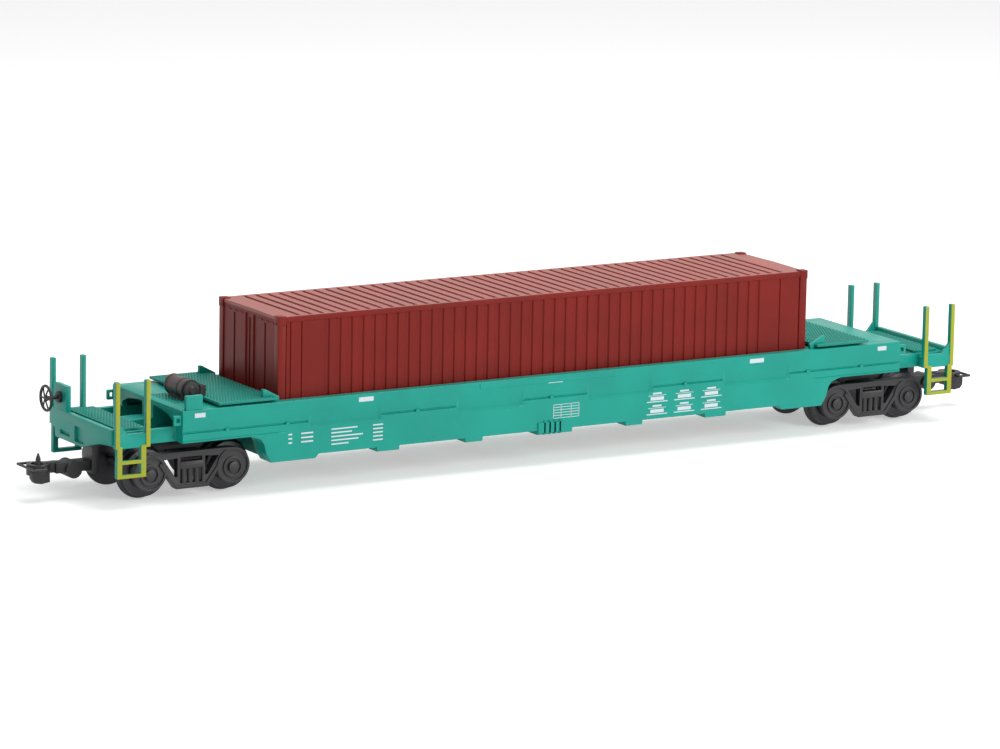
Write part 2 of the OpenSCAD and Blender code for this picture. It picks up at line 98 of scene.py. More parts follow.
def start_material(name):
    """A new node material with its Principled shader and the place of the point as fields."""
    material = bpy.data.materials.new(name)
    material.use_nodes = True
    tree = material.node_tree
    shader = tree.nodes["Principled BSDF"]
    place = Field(tree, tree.nodes.new("ShaderNodeTexCoord").outputs["Object"])
    return material, tree, shader, place


def moulded(name, colour, rough=0.38, vary=0.06, grain=0.05, specular=0.5, paint=None):
    """Moulded plastic: cloudy colour, cloudy gloss and a fine moulded grain. paint is a function
    of the place that gives a mask and the colour of what is printed or painted on it."""
    material, tree, shader, place = start_material(name)
    cloud = place.node("ShaderNodeTexNoise", {"Vector": place, "Scale": 90.0, "Detail": 3.0})
    fine = place.node("ShaderNodeTexNoise", {"Vector": place, "Scale": 5200.0, "Detail": 2.0})
    dark = tuple(c * (1 - vary) for c in colour[:3]) + (1.0,)
    light = tuple(min(1.0, c * (1 + vary)) for c in colour[:3]) + (1.0,)
    shade = cloud.ramp(0.35, 0.65).mix(dark, light)
    if paint:
        mask, paint_colour = paint(place)
        shade = mask.mix(shade, paint_colour)
    tree.links.new(shade.socket, shader.inputs["Base Color"])
    tree.links.new((cloud * 0.12 + (rough - 0.06)).socket, shader.inputs["Roughness"])
    bump = fine.node("ShaderNodeBump", {"Height": fine, "Strength": grain, "Distance": 0.02 * MM})
    tree.links.new(bump.socket, shader.inputs["Normal"])
    shader.inputs["Specular IOR Level"].default_value = specular
    return material


def make_piece(name, points, faces, body, material, replaces=(), sharp=32.0):
    """A mesh piece from an array of points and a list or array of faces, riding on a body."""
    mesh = bpy.data.meshes.new(name)
    points = np.asarray(points, float).reshape(-1, 3)
    mesh.from_pydata(points.tolist(), [], [list(map(int, f)) for f in faces])
    mesh.validate()
    mesh.materials.append(material)
    mesh.shade_smooth()
    mesh.set_sharp_from_angle(angle=math.radians(sharp))
    piece = bpy.data.objects.new(name, mesh)
    bpy.context.scene.collection.objects.link(piece)
    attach(piece, body)
    if replaces:
        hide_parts(*replaces)
    return piece


def carried(loops):
    """Skin of a closed section carried along stations, with both ends closed. loops[i, j] is
    point j of the section at station i; faces join j to j + 1 and station i to i + 1."""
    stations, around = loops.shape[:2]
    i, j = np.meshgrid(np.arange(stations - 1), np.arange(around), indexing="ij")
    k = (j + 1) % around
    quads = np.stack([i * around + j, i * around + k, (i + 1) * around + k, (i + 1) * around + j], -1)
    faces = quads.reshape(-1, 4).tolist()
    faces.append(list(range(around))[::-1])
    faces.append([(stations - 1) * around + n for n in range(around)])
    return loops.reshape(-1, 3), faces


def turn_out(faces_points):
    """Flips every face of a closed skin if its volume comes out negative."""
    points, faces = faces_points
    volume = 0.0
    for face in faces:
        ring = points[list(face)]
        volume += np.einsum("i,ji->", ring[0], np.cross(ring[1:-1], ring[2:]))
    if volume < 0:
        faces = [list(face)[::-1] for face in faces]
    return points, faces


def joined(parts):
    """One points array and face list from several."""
    points, faces, count = [], [], 0
    for part_points, part_faces in parts:
        points.append(np.asarray(part_points, float).reshape(-1, 3))
        faces.extend([[int(n) + count for n in face] for face in part_faces])
        count += len(points[-1])
    return np.concatenate(points), faces


teal = moulded("satin_teal_plastic", srgb(17, 158, 142), specular=0.3)
sill_low, sill_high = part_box("side_sill_rear")
well_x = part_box("well_end_right")[1][0]         # outer face of the well's end wall
sill_x = sill_high[0]                           # end of the side sills
arch_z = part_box("platform_right")[0][2]         # top of the wheel arch
tab_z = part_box("well_frame")[0][2]              # underside of the tabs
edge_z = tab_z + 0.95 * MM                      # underside of the sill between tabs
waist_z = arch_z + 2.15 * MM                    # crease along the sill
BEND = 0.14 * MM                                # rounding of the sill's edges
MIDDLE_TAB = 9.3 * MM                           # width of the middle tab
OUTER_TABS = ((21.25 * MM, 4.5 * MM), (43.45 * MM, 5.7 * MM))   # centre and width


def step(value, low, high, soft):
    """1 between low and high, 0 outside, with straight flanks of width soft."""
    return np.clip(np.minimum(value - low, high - value) / soft + 0.5, 0, 1)


def sill_bottom(x):
    """Height of the sill's lower edge: tabs at the cross-bearers, then the wheel arch."""
    a = np.abs(x)
    rows = [(0, MIDDLE_TAB)] + [(s * c, w) for s in (-1, 1) for c, w in OUTER_TABS]
    tabs = sum(step(x, c - w / 2, c + w / 2, 0.08 * MM) for c, w in rows)
    end_x = well_x + np.array([-10.6, -9.6, 1.4, 2.6, 3.3, 4.1, 6.6]) * MM
    end_z = np.array([edge_z, tab_z, tab_z, tab_z + 1.9 * MM, arch_z - 1.9 * MM, arch_z - 0.8 * MM, arch_z])
    ends = np.interp(a, end_x, end_z)
    return np.where(a < end_x[0], edge_z - tabs * (edge_z - tab_z), ends)


def sill_dent(x, z):
    """How far the panel leans in: a wide crease in two bays a side, a fine groove elsewhere."""
    a = np.abs(x)
    wide = step(a, 45.6 * MM, 63.5 * MM, 0.9 * MM) + step(a, 8.7 * MM, 25.8 * MM, 0.9 * MM)
    narrow = (step(a, 26.1 * MM, 45.2 * MM, 0.3 * MM) + step(a, 63.9 * MM, sill_x + MM, 0.3 * MM)
              + step(a, -9 * MM, 8.3 * MM, 0.3 * MM))
    crease = np.interp(z, waist_z + np.array([-1.5, -0.75, 2.6]) * MM, [0, 0.6 * MM, 0])
    groove = np.interp(z, waist_z + np.array([-0.16, 0, 0.14, 0.3, 1.9]) * MM,
                       [0, 0.44 * MM, 0.44 * MM, 0.2 * MM, 0])
    low_line = step(a, well_x - 2 * MM, sill_x + MM, 0.8 * MM) * np.interp(
        z, arch_z + np.array([0.25, 0.42, 0.6]) * MM, [0, 0.14 * MM, 0])
    return wide * crease + narrow * groove + low_line


def sill_loops(side):
    """Sections of one sill: down the outer face, under the edge, up the inner face."""
    edges = [0, 4.65, 8.7, 19, 23.5, 25.8, 26.1, 40.6, 45.2, 45.6, 46.3, 61.0, 62.0, 63.5, 63.9,
             73.0, 74.2, 74.9, 75.7, 78.2]
    marks = np.concatenate([e * MM + np.array([-0.6, -0.15, -0.05, 0, 0.05, 0.15, 0.6]) * MM for e in edges])
    marks = np.concatenate([marks, np.linspace(0, sill_x, 90)])
    marks = marks[(marks >= 0) & (marks <= sill_x - 0.2 * MM)]
    half = np.unique(np.round(np.concatenate([marks, [sill_x - BEND, sill_x]]), 7))
    x = np.concatenate([-half[:0:-1], half])[:, None]
    upper = np.array([2.6, 1.9, 1.2, 0.6, 0.3, 0.14, 0, -0.16, -0.45, -0.75, -1.1, -1.5]) * MM + waist_z
    over = arch_z + np.array([0.6, 0.42, 0.25]) * MM
    bottom = sill_bottom(x[:, 0])[:, None]
    t = np.array([1.0, 0.75, 0.5, 0.25])
    lower = bottom + BEND + np.maximum(arch_z + 0.15 * MM - bottom - BEND, 0.02 * MM) * t
    top = sill_high[2]
    level = np.concatenate([[top - BEND, top - 1.2 * MM], upper, over])
    z = np.concatenate([np.broadcast_to(level, (len(x), len(level))), lower, bottom + BEND], 1)
    outer = sill_high[1] - sill_dent(np.broadcast_to(x, z.shape), z)
    inner = sill_low[1]
    z_all = np.concatenate([z, bottom, bottom, bottom + BEND, np.full_like(bottom, top - BEND),
                            np.full_like(bottom, top), np.full_like(bottom, top)], 1)
    flat = np.ones_like(bottom)
    y_all = np.concatenate([outer, flat * (sill_high[1] - BEND), flat * (inner + BEND), flat * inner,
                            flat * inner, flat * (inner + BEND), flat * (sill_high[1] - BEND)], 1)
    x_all = np.broadcast_to(x, y_all.shape)
    return np.stack([x_all, side * y_all, z_all], -1)


for side, label in ((-1, "front"), (1, "rear")):
    points, faces = turn_out(carried(sill_loops(side)))
    make_piece(f"sill_{label}", points, faces, "wagon", teal,
               (f"side_sill_{label}",), sharp=28)

# ---------------------------------------------------------------------------------------
# Details and printing on the sills
# Ribs at the middle tab, small bumps along the waist and a shallow raised panel, moulded with
# the sill; pale reflectors and plain white table, box and line marks, pad-printed on it.
# ---------------------------------------------------------------------------------------
sill_face = sill_high[1]


def block(low, high, draft=0.0):
    """Points and faces of a block between two corners; its outer face, the one farthest from the
    car's middle plane, is drawn in by draft all round."""
    x0, y0, z0 = low
    x1, y1, z1 = high
    d = draft
    near_face = [[x0, y0, z0], [x1, y0, z0], [x1, y0, z1], [x0, y0, z1]]
    far_face = [[x0 + d, y1, z0 + d], [x1 - d, y1, z0 + d], [x1 - d, y1, z1 - d], [x0 + d, y1, z1 - d]]
    flanks = [[0, 4, 5, 1], [1, 5, 6, 2], [2, 6, 7, 3], [3, 7, 4, 0]]
    return turn_out((np.array(near_face + far_face), [[0, 1, 2, 3], [4, 7, 6, 5]] + flanks))


def on_sills(rows, rise, sink=0.05 * MM, draft=0.0):
    """Blocks on both sills from rows of (x0, x1, z0, z1) in millimetres; the rear side's rows
    are turned half round, as its sill is."""
    parts = []
    for x0, x1, z0, z1 in rows:
        for left, right, side in ((x0, x1, -1), (-x1, -x0, 1)):
            parts.append(block((left * MM, side * (sill_face - sink), z0 * MM),
                               (right * MM, side * (sill_face + rise), z1 * MM), draft))
    return joined(parts)


TAB, WAIST = 1000 * tab_z, 1000 * waist_z
ribs = [(x, x + 0.55, TAB - 0.05, TAB + 3.2) for x in (-3.1, -1.75, -0.4, 0.95)]
ribs += [(-4.6, 2.0, TAB + 0.3, TAB + 2.9)]
bumps = [(x - 0.5, x + 0.5, WAIST - 0.35, WAIST + 0.45) for x in (-84, -69, -36, -1, 35, 69, 84)]
points, faces = on_sills(ribs, 0.35 * MM, draft=0.08 * MM)
make_piece("sill_ribs", points, faces, "wagon", teal)
points, faces = on_sills(bumps + [(-20, 20, 18.9, 20.3)], 0.12 * MM, draft=0.1 * MM)
make_piece("sill_bumps", points, faces, "wagon", teal)

white_print = moulded("white_printing", srgb(214, 226, 232), rough=0.45, vary=0.02, grain=0.02)
marks = [(x0, x1, 18.8, 19.8) for x0, x1 in
         ((-92.1, -89.5), (-51.1, -47.4), (-1.9, 1.9), (52.6, 56.5), (88.5, 91.0))]
marks += [(-68.8, -67.9, 12.8 - 0.95 * n, 13.15 - 0.95 * n) for n in range(3)]
marks += [(-65.6, -62.6, 12.8 - 0.95 * n, 13.15 - 0.95 * n) for n in range(3)]
marks += [(-58.0, -58.0 + w, 13.1 - 0.85 * n, 13.4 - 0.85 * n)
          for n, w in enumerate((6.6, 5.2, 8.0, 6.9, 4.4))]
marks += [(-47.4, -44.9, 13.1 - 0.85 * n, 13.4 - 0.85 * n) for n in range(5)]
marks += [(-0.5, 6.4, 10.5 + 0.62 * n, 10.62 + 0.62 * n) for n in range(6)]
marks += [(x, x + 0.13, 10.5, 13.7) for x in (-0.5, 1.5, 4.2, 6.27)]
for x in (24.6, 32.0, 39.4):
    for z in (9.0, 11.9):
        marks += [(x, x + 5.6, z, z + 0.22), (x + 1.0, x + 4.6, z + 0.45, z + 1.25),
                  (x + 0.4, x + 5.2, z + 1.5, z + 1.62), (x + 1.6, x + 4.0, z + 1.85, z + 2.25)]
points, faces = on_sills(marks, 0.03 * MM, 0.02 * MM)
make_piece("printed_marks", points, faces, "wagon", white_print)

# ---------------------------------------------------------------------------------------
# Under-frame and ends
# Well frame, end walls, arch plates, end platforms and end beams: flat plastic mouldings in
# the same teal, glued to the sills. Their edges are rounded as a mould leaves them.
# ---------------------------------------------------------------------------------------


def round_edges(node, material, width=0.09 * MM):
    """Gives a CAD node its finish and rounds its edges with a weld and a bevel."""
    thing = nodes[node]
    thing.data.materials.clear()
    thing.data.materials.append(material)
    weld = thing.modifiers.new("weld", "WELD")
    weld.merge_threshold = 0.002 * MM
    bevel = thing.modifiers.new("bevel", "BEVEL")
    bevel.width = width
    bevel.segments = 2
    bevel.limit_method = "ANGLE"
    bevel.angle_limit = math.radians(38)
    bevel.harden_normals = True
    thing.data.shade_smooth()


for name in ("well_frame", "well_end_left", "well_end_right", "arch_plates", "platform_left",
             "platform_right", "end_beam_left", "end_beam_right", "top_plate_left", "top_plate_right",
             "container_guides", "sill_brackets", "brake_bracket", "handwheel_stand"):
    round_edges(name, teal)

# ---------------------------------------------------------------------------------------
# Decks and walkways
# Raised tread plate at both ends and on the left top plate, moulded in teal with a close
# pattern of small studs. Each stud is a low four-sided pyramid with its top cut off.
# ---------------------------------------------------------------------------------------
deck_teal = moulded("matt_teal_tread_plastic", srgb(18, 138, 124), rough=0.5, specular=0.3)


def studs(low, high, pitch, width, height):
    """Points and faces of studs on a flat top between two corners: for each centre, four base
    corners and four top corners drawn in to half the width."""
    cx = np.arange(low[0] + pitch, high[0] - pitch / 2, pitch)
    cy = np.arange(low[1] + pitch, high[1] - pitch / 2, pitch)
    gx, gy = np.meshgrid(cx, cy, indexing="ij")
    gx = gx + np.where(np.arange(len(cy)) % 2, pitch / 2, 0)[None, :]
    centres = np.stack([gx.ravel(), gy.ravel()], -1)
    centres = centres[centres[:, 0] < high[0] - pitch / 2]
    corners = np.array([[-1, -1], [1, -1], [1, 1], [-1, 1]]) * width / 2
    base = np.concatenate([centres[:, None] + corners, np.full((len(centres), 4, 1), low[2])], -1)
    top = np.concatenate([centres[:, None] + corners * 0.5,
                          np.full((len(centres), 4, 1), low[2] + height)], -1)
    points = np.concatenate([base, top], 1)
    pattern = np.array([[0, 1, 5, 4], [1, 2, 6, 5], [2, 3, 7, 6], [3, 0, 4, 7], [4, 5, 6, 7]])
    faces = (np.arange(len(centres))[:, None, None] * 8 + pattern).reshape(-1, 4)
    return points.reshape(-1, 3), faces


for name in ("deck_left", "deck_right", "walkway_left", "walkway_right", "top_plate_left"):
    low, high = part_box(name)
    if name == "top_plate_left":
        low[0], low[1], high[1] = low[0] + 1.5 * MM, -9.5 * MM, 3.5 * MM
    else:
        round_edges(name, deck_teal)
    top = Vector((low[0], low[1], high[2] - 0.01 * MM))
    points, faces = studs(top, high, 0.72 * MM, 0.42 * MM, 0.14 * MM)
    make_piece(f"studs_{name}", points, faces, "wagon", deck_teal, sharp=20)

# ---------------------------------------------------------------------------------------
# Ladders
# Grab posts and step ladders at the four corners, moulded in teal, with their outward faces
# painted yellow-green by a brush that only touches the face.
# ---------------------------------------------------------------------------------------
post_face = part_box("ladder_right_rear")[1][1]


def outward_paint(place):
    """Mask of the faces that look away from the car, and their yellow-green."""
    y = place.node("ShaderNodeSeparateXYZ", {0: place}, output=1)
    patchy = place.node("ShaderNodeTexNoise", {"Vector": place, "Scale": 900.0, "Detail": 2.0})
    face = abs(y).ramp(post_face - 0.16 * MM, post_face - 0.06 * MM)
    return face * (patchy.ramp(0.3, 0.5) * 0.25 + 0.75), srgb(170, 174, 34)


ladder_teal = moulded("teal_with_yellow_green_faces", srgb(17, 158, 142), specular=0.3, paint=outward_paint)
for end in ("left", "right"):
    for side in ("front", "rear"):
        round_edges(f"ladder_{end}_{side}", ladder_teal)

# ---------------------------------------------------------------------------------------
# Brake gear
# Dark brown brake cylinder on the cover plate and a black spoked handwheel at the end.
# ---------------------------------------------------------------------------------------
brown = moulded("dark_brown_plastic", srgb(62, 42, 42), rough=0.42)
black = moulded("matt_black_plastic", srgb(26, 24, 27), rough=0.5)


def tube(path, radius, sides=10, closed=False):
    """Skin of a round wire along a path: at each point a ring at right angles to the way the
    path runs, with the ring's first direction carried along from one point to the next."""
    path = np.asarray(path, float)
    if closed:
        ahead = np.roll(path, -1, 0) - np.roll(path, 1, 0)
    else:
        ahead = np.gradient(path, axis=0)
    ahead /= np.linalg.norm(ahead, axis=1)[:, None]
    aside = np.zeros_like(path)
    guess = np.array([0.3, 0.5, 0.81])
    for n, direction in enumerate(ahead):
        guess = guess - direction * np.dot(guess, direction)
        guess /= np.linalg.norm(guess)
        aside[n] = guess
    across = np.cross(ahead, aside)
    angle = np.linspace(0, 2 * np.pi, sides, endpoint=False)[None, :, None]
    rings = path[:, None] + radius * (np.cos(angle) * aside[:, None] + np.sin(angle) * across[:, None])
    if closed:
        rings = np.concatenate([rings, rings[:1]])
        points, faces = carried(rings)
        return points, faces[:-2]
    return carried(rings)


wheel_low, wheel_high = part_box("handwheel")
wheel_r = (wheel_high[2] - wheel_low[2]) / 2
wheel_mid = Vector((wheel_low[0] + 0.4 * MM, (wheel_low[1] + wheel_high[1]) / 2,
                    (wheel_low[2] + wheel_high[2]) / 2))
RIM, SPOKE, SHAFT = 0.33 * MM, 0.19 * MM, 0.45 * MM       # radius of each wire and of the shaft
SPOKES = 6
turn = np.linspace(0, 2 * np.pi, 48, endpoint=False)
rim = np.stack([np.full(len(turn), wheel_mid[0]), wheel_mid[1] + (wheel_r - RIM) * np.cos(turn),
                wheel_mid[2] + (wheel_r - RIM) * np.sin(turn)], -1)
wheel_parts = [turn_out(tube(rim, RIM, 10, closed=True))]
for a in np.arange(SPOKES) * 2 * math.pi / SPOKES:
    reach = np.linspace(0.3 * MM, wheel_r - 0.4 * MM, 6)[:, None]
    dish = 0.25 * MM * (1 - (reach / wheel_r) ** 2)
    spoke = np.concatenate([wheel_mid[0] - dish, wheel_mid[1] + reach * math.cos(a),
                            wheel_mid[2] + reach * math.sin(a)], 1)
    wheel_parts.append(turn_out(tube(spoke, SPOKE, 8)))
hub = np.array([[-0.4, 0.45], [-0.3, 0.62], [0.2, 0.7], [0.4, 0.55]]) * MM


def turned(profile, centre, axis, sides=40):
    """Solid of revolution: profile rows are (place along the axis, radius); the ends close on
    the axis with a point each."""
    along = {"x": 0, "y": 1, "z": 2}[axis]
    u, v = [n for n in range(3) if n != along]
    angle = np.linspace(0, 2 * np.pi, sides, endpoint=False)
    rings = np.zeros((len(profile), sides, 3))
    rings[..., along] = profile[:, :1]
    rings[..., u] = profile[:, 1:] * np.cos(angle)
    rings[..., v] = profile[:, 1:] * np.sin(angle)
    return turn_out(carried(rings + np.array(centre)))


wheel_parts.append(turned(hub, wheel_mid, "x", 20))
shaft_l = wheel_high[0] - wheel_mid[0]
shaft = np.array([[0, SHAFT], [shaft_l - 0.85 * MM, SHAFT], [shaft_l - 0.8 * MM, 1.1 * MM],
                  [shaft_l - 0.6 * MM, 1.3 * MM], [shaft_l, 1.3 * MM]])
wheel_parts.append(turned(shaft, wheel_mid, "x", 24))
points, faces = joined(wheel_parts)
make_piece("spoked_handwheel", points, faces, "wagon", black, ("handwheel",), sharp=40)

tank_low, tank_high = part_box("brake_cylinder")
tank_r = (tank_high[0] - tank_low[0]) / 2
tank_mid = np.array([(tank_high[0] + tank_low[0]) / 2, 0, tank_high[2] - tank_r])
near, far = tank_low[1], tank_high[1]
shell_r = tank_r * 0.93                         # between the barrel's raised bands
barrel = np.array([[near + 1.9 * MM, tank_r * 0.86], [near + 2.1 * MM, shell_r],
                   [near + 3.9 * MM, shell_r], [near + 4.0 * MM, tank_r], [near + 4.5 * MM, tank_r],
                   [near + 4.6 * MM, shell_r], [far - 1.5 * MM, shell_r], [far - 1.4 * MM, tank_r],
                   [far - 0.9 * MM, tank_r], [far - 0.5 * MM, tank_r * 0.8], [far, tank_r * 0.35]])
foot = block((tank_mid[0] - 1.3 * MM, near + 2.3 * MM, tank_low[2]),
             (tank_mid[0] + 1.3 * MM, far - 1.5 * MM, tank_mid[2]))
points, faces = joined([turned(barrel, tank_mid, "y", 40), foot])
make_piece("brake_cylinder_barrel", points, faces, "wagon", brown,
           ("brake_cylinder",), sharp=35)
cover = np.array([[near, tank_r * 0.3], [near + 0.4 * MM, tank_r * 0.45], [near + 0.5 * MM, tank_r * 0.8],
                  [near + 1.3 * MM, tank_r * 0.85], [near + 1.3 * MM, tank_r], [near + 1.9 * MM, tank_r]])
clevis = [block((tank_mid[0] + 1.9 * MM, near + y0, tank_low[2] + 1.2 * MM),
                (tank_mid[0] + tank_r + 0.9 * MM, near + y1, tank_mid[2] + 1.1 * MM))
          for y0, y1 in ((0.3 * MM, 0.9 * MM), (1.6 * MM, 2.3 * MM), (3.2 * MM, 3.8 * MM))]
rod_x = tank_mid[0] + 3.0 * MM
rod = tube([(rod_x, near + y, tank_mid[2]) for y in (0.2 * MM, 2.0 * MM, 4.0 * MM)], 0.35 * MM, 10)
points, faces = joined([turned(cover, tank_mid, "y", 40), turn_out(rod)] + clevis)
make_piece("brake_cylinder_cover", points, faces, "wagon", black, sharp=35)

# ---------------------------------------------------------------------------------------
# Container
# Forty-foot box in oxide red plastic: corrugated side walls between rails, a roof with
# pressed grooves, a pair of grooved doors at one end and a corrugated wall at the other.
# ---------------------------------------------------------------------------------------
oxide = moulded("oxide_red_plastic", srgb(126, 27, 19), rough=0.42, vary=0.08, specular=0.2)
# The roof's paler, lighter red is painted light: a painted highlight and sheen of its lit top, on the same
# oxide red plastic as the walls.
painted_sheen_roof_oxide = moulded("oxide_red_plastic_painted_roof_sheen", srgb(158, 70, 58), rough=0.42, vary=0.08)
cast_low, cast_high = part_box("corner_castings")
half_l, half_w = cast_high[0], cast_high[1]
seat_z, top_z = cast_low[2], cast_high[2]
SIDE_FOLDS, SIDE_PITCH, FIRST_FOLD = 40, 2.92 * MM, -57.6 * MM
ROOF_GROOVES, ROOF_PITCH, FIRST_GROOVE = 44, 2.967 * MM, -64.3 * MM


def sheet_grid(points):
    """Faces of an open grid of points[i, j]."""
    rows, columns = points.shape[:2]
    i, j = np.meshgrid(np.arange(rows - 1), np.arange(columns - 1), indexing="ij")
    n = i * columns + j
    quads = np.stack([n, n + 1, n + columns + 1, n + columns], -1)
    return points.reshape(-1, 3), quads.reshape(-1, 4).tolist()


def slab(front, back):
    """Closed slab between two grids of the same shape: front, back and the four edges."""
    rows, columns = front.shape[:2]
    points = np.concatenate([front.reshape(-1, 3), back.reshape(-1, 3)])
    _, faces = sheet_grid(front)
    count = rows * columns
    faces += [[n + count for n in face[::-1]] for face in faces]
    rim = ([r * columns for r in range(rows)] + [(rows - 1) * columns + c for c in range(1, columns)]
           + [r * columns + columns - 1 for r in range(rows - 2, -1, -1)] + list(range(columns - 2, 0, -1)))
    for a, b in zip(rim, rim[1:] + rim[:1]):
        faces.append([a, a + count, b + count, b])
    return turn_out((points, faces))


def folds(start, stop, centres, flat, flank):
    """Places along a sheet and its depth, 0 on the face and 1 in a trough: each trough has a flat
    floor with a straight flank on each side of it, at every centre."""
    centres = np.asarray(centres)
    offsets = np.array([-flat / 2 - flank, -flat / 2, flat / 2, flat / 2 + flank])
    places = (centres[:, None] + offsets).ravel()
    depth = np.tile([0.0, 1.0, 1.0, 0.0], len(centres))
    return np.concatenate([[start], places, [stop]]), np.concatenate([[0.0], depth, [0.0]])


def side_wall(side):
    """Corrugated wall: troughs along most of it, and single fine lines beside the corner posts."""
    fold = np.arange(SIDE_FOLDS) * SIDE_PITCH + FIRST_FOLD
    lines = np.array([-66.85, -64.05, 62.5]) * MM
    broad_x, broad_d = folds(-half_l + 2.2 * MM, half_l - 2.2 * MM, fold, 0.8 * MM, 0.24 * MM)
    fine_x, fine_d = folds(-half_l + 2.2 * MM, half_l - 2.2 * MM, lines, 0.12 * MM, 0.1 * MM)
    x = np.unique(np.round(np.concatenate([broad_x, fine_x]), 8))
    dent = 0.3 * MM * np.interp(x, broad_x, broad_d) + 0.22 * MM * np.interp(x, fine_x, fine_d)
    z = np.array([seat_z + 1.35 * MM, seat_z + 1.5 * MM, top_z - 1.05 * MM, top_z - 0.9 * MM])
    ends = np.array([0, 1, 1, 0])
    y = half_w - 0.22 * MM - dent[:, None] * ends[None, :]
    grid = np.stack([np.broadcast_to(x[:, None], y.shape), side * y, np.broadcast_to(z, y.shape)], -1)
    back = grid.copy()
    back[..., 1] = side * (half_w - 1.2 * MM)
    return slab(grid, back)


for side, label in ((-1, "front"), (1, "rear")):
    points, faces = side_wall(side)
    make_piece(f"container_wall_{label}", points, faces, "container", oxide,
               (f"container_side_{label}",), sharp=30)

x, cut = folds(-half_l + 0.25 * MM, half_l - 0.25 * MM,
               np.arange(ROOF_GROOVES) * ROOF_PITCH + FIRST_GROOVE, 0.8 * MM, 0.12 * MM)
y = np.array([-1, -0.999, -0.945, -0.93, 0, 0.93, 0.945, 0.999, 1]) * (half_w - 0.15 * MM)
across = np.array([0, 0, 0, 1, 1, 1, 0, 0, 0])
z = top_z - 0.16 * MM - 0.6 * MM * cut[:, None] * across[None, :]
corner = (np.abs(x)[:, None] > half_l - 2.05 * MM) & (np.abs(y)[None, :] > half_w - 2.05 * MM)
z = np.where(corner, top_z - 0.3 * MM, z)
top = np.stack([np.broadcast_to(x[:, None], z.shape), np.broadcast_to(y, z.shape), z], -1)
under = top.copy()
under[..., 2] = top_z - 0.95 * MM
points, faces = slab(top, under)
make_piece("grooved_roof", points, faces, "container", painted_sheen_roof_oxide,
           ("container_roof",), sharp=30)


def end_sheet(side, centres, flat, flank, depth):
    """End wall of the container: a sheet with upright troughs and a plain band over and under."""
    y, dent = folds(-half_w + 1.9 * MM, half_w - 1.9 * MM, centres, flat, flank)
    z = np.array([seat_z + 1.2 * MM, seat_z + 1.9 * MM, seat_z + 2.0 * MM,
                  top_z - 2.5 * MM, top_z - 2.4 * MM, top_z - 0.4 * MM])
    rows = np.array([0, 0, 1, 1, 0, 0])
    x = half_l - 0.35 * MM - depth * dent[:, None] * rows[None, :]
    grid = np.stack([side * x, np.broadcast_to(y[:, None], x.shape), np.broadcast_to(z, x.shape)], -1)
    back = grid.copy()
    back[..., 0] = side * (half_l - 1.3 * MM)
    return slab(grid, back)


points, faces = end_sheet(1, (np.arange(8) - 3.5) * 3.0 * MM, 1.1 * MM, 0.2 * MM, 0.4 * MM)
make_piece("container_wall_end", points, faces, "container", oxide,
           ("container_front_wall",), sharp=30)
door = end_sheet(-1, np.array([-7.3, -0.2, 7.0]) * MM, 0.5 * MM, 0.12 * MM, 0.42 * MM)
bars = []
for y in (-2.1, 1.5):
    line = [(-half_l + 0.28 * MM, y * MM, z)
            for z in (seat_z + 1.0 * MM, (seat_z + top_z) / 2, top_z - 1.6 * MM)]
    bars.append(turn_out(tube(line, 0.24 * MM, 10)))
for y in (-11.2, -8.9, -6.0, 3.2, 6.0, 8.9):
    bars.append(block((-half_l + 0.4 * MM, y * MM, top_z - 2.1 * MM),
                      (-half_l + 0.2 * MM, (y + 2.0) * MM, top_z - 1.8 * MM)))
points, faces = joined([door] + bars)
make_piece("container_doors_grooved", points, faces, "container", oxide,
           ("container_doors",), sharp=30)
for name in ("container_floor", "container_posts", "corner_castings"):
    round_edges(name, oxide)

# ---------------------------------------------------------------------------------------
# Bogies and wheels
# Each bogie is one moulding in near-black plastic. Blackened turned wheels sit on bright
# steel axles, and a black wire loop hangs in front of each coupler head.
# ---------------------------------------------------------------------------------------
bogie_black = moulded("near_black_bogie_plastic", srgb(40, 37, 40), rough=0.46)
for end in ("left", "right"):
    round_edges(f"bogie_frame_{end}", bogie_black)
    round_edges(f"coupler_{end}", black)
    round_edges(f"coupler_loop_{end}", black, 0.02 * MM)


def metal(name, colour, rough):
    """Turned metal: a fine grain in its colour and its roughness."""
    material, tree, shader, place = start_material(name)
    fine = place.node("ShaderNodeTexNoise", {"Vector": place, "Scale": 3000.0, "Detail": 2.0})
    tree.links.new((fine * 0.15 + (rough - 0.07)).socket, shader.inputs["Roughness"])
    tree.links.new(fine.ramp(0.3, 0.7).mix(tuple(0.85 * c for c in colour[:3]) + (1,), colour).socket,
                   shader.inputs["Base Color"])
    shader.inputs["Metallic"].default_value = 1.0
    return material


steel = metal("bright_turned_steel", srgb(190, 190, 192), 0.3)
dark_steel = metal("blackened_steel", srgb(70, 69, 72), 0.42)
for name in ("bogie_pin_left", "bogie_pin_right", "axle_1", "axle_2", "axle_3", "axle_4"):
    round_edges(name, steel, 0.05 * MM)
for n in (1, 2, 3, 4):
    round_edges(f"wheels_{n}", dark_steel, 0.05 * MM)

# ---------------------------------------------------------------------------------------
# Stage
# Plain white floor that keeps the car's shadow, a white world, two soft lamps and the
# camera. The floor and the world are whiter only where the camera or a reflection sees them.
# ---------------------------------------------------------------------------------------
scene = bpy.context.scene
scene.view_settings.view_transform = "Standard"
FLOOR = 6.0                                     # half of the floor's width
floor_mesh = bpy.data.meshes.new("floor")
corners = [(-FLOOR, -FLOOR, 0), (FLOOR, -FLOOR, 0), (FLOOR, FLOOR, 0), (-FLOOR, FLOOR, 0)]
floor_mesh.from_pydata(corners, [], [(0, 1, 2, 3)])
floor = bpy.data.objects.new("floor", floor_mesh)
scene.collection.objects.link(floor)
floor_material, floor_tree, floor_shader, _ = start_material("white_floor")
floor_shader.inputs["Base Color"].default_value = (0.86, 0.86, 0.86, 1)
floor_shader.inputs["Roughness"].default_value = 0.9


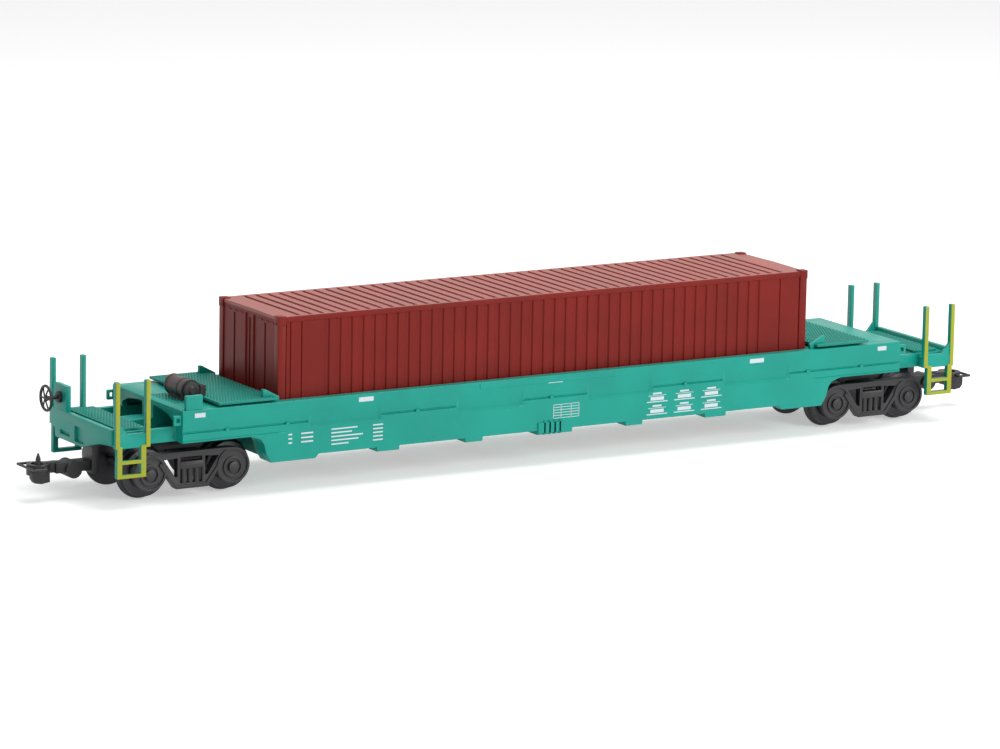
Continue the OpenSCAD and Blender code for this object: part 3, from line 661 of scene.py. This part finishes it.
def background_rays(tree):
    """1 for the rays that show the background: camera, glossy and transmission rays."""
    rays = tree.nodes.new("ShaderNodeLightPath").outputs
    camera_ray, glossy_ray, glass_ray = (
        Field(tree, rays[f"Is {kind} Ray"]) for kind in ("Camera", "Glossy", "Transmission"))
    return (camera_ray + glossy_ray + glass_ray).ramp(0.0, 1.0)


FLOOR_LIFT = 0.42                               # white added for the rays that show the background
floor_tree.links.new((background_rays(floor_tree) * FLOOR_LIFT).socket, floor_shader.inputs["Emission Color"])
floor_shader.inputs["Emission Strength"].default_value = 1.0
floor_mesh.materials.append(floor_material)

world = bpy.data.worlds.new("studio")
scene.world = world
world.use_nodes = True
sky = world.node_tree
SKY_LIGHT = 0.35                                # the world's light on the car
strength = background_rays(sky) * (1 - SKY_LIGHT) + SKY_LIGHT
sky.links.new(strength.socket, sky.nodes["Background"].inputs["Strength"])
sky.nodes["Background"].inputs["Color"].default_value = (1, 1, 1, 1)


def area_lamp(name, place, aim, size, power):
    """A square soft lamp that looks from a place at a point."""
    lamp = bpy.data.lights.new(name, "AREA")
    lamp.shape = "SQUARE"
    lamp.size = size
    lamp.energy = power
    thing = bpy.data.objects.new(name, lamp)
    thing.location = place
    thing.rotation_euler = (Vector(aim) - Vector(place)).to_track_quat("-Z", "Y").to_euler()
    scene.collection.objects.link(thing)


area_lamp("top_lamp", (0.15, 0.05, 0.75), (0, 0, 0.02), 0.5, 3.4)
area_lamp("front_lamp", (0.3, -0.8, 0.4), (0, 0, 0.02), 0.45, 4.2)

AZIMUTH, ELEVATION, ROLL = map(math.radians, (-31.053, 11.142, 1.098))
DISTANCE, ABOVE, ASIDE = 1239.24 * MM, 16.52 * MM, -3.62 * MM
right = Vector((math.cos(AZIMUTH), math.sin(AZIMUTH), 0))
back = Vector((math.sin(AZIMUTH) * math.cos(ELEVATION), -math.cos(AZIMUTH) * math.cos(ELEVATION),
               math.sin(ELEVATION)))
up = back.cross(right)
lens_right = right * math.cos(ROLL) + up * math.sin(ROLL)
lens_up = up * math.cos(ROLL) - right * math.sin(ROLL)
rail_top = Vector((0, 0, 0.8 * MM))
eye = rail_top + lens_right * ASIDE + lens_up * ABOVE + back * DISTANCE
camera_data = bpy.data.cameras.new("camera")
camera_data.sensor_width = 36.0
camera_data.lens = 194.29
camera_data.clip_start = 0.01
camera = bpy.data.objects.new("camera", camera_data)
camera.matrix_world = Matrix((
    (lens_right.x, lens_up.x, back.x, eye.x),
    (lens_right.y, lens_up.y, back.y, eye.y),
    (lens_right.z, lens_up.z, back.z, eye.z),
    (0, 0, 0, 1),
))
scene.collection.objects.link(camera)
scene.camera = camera
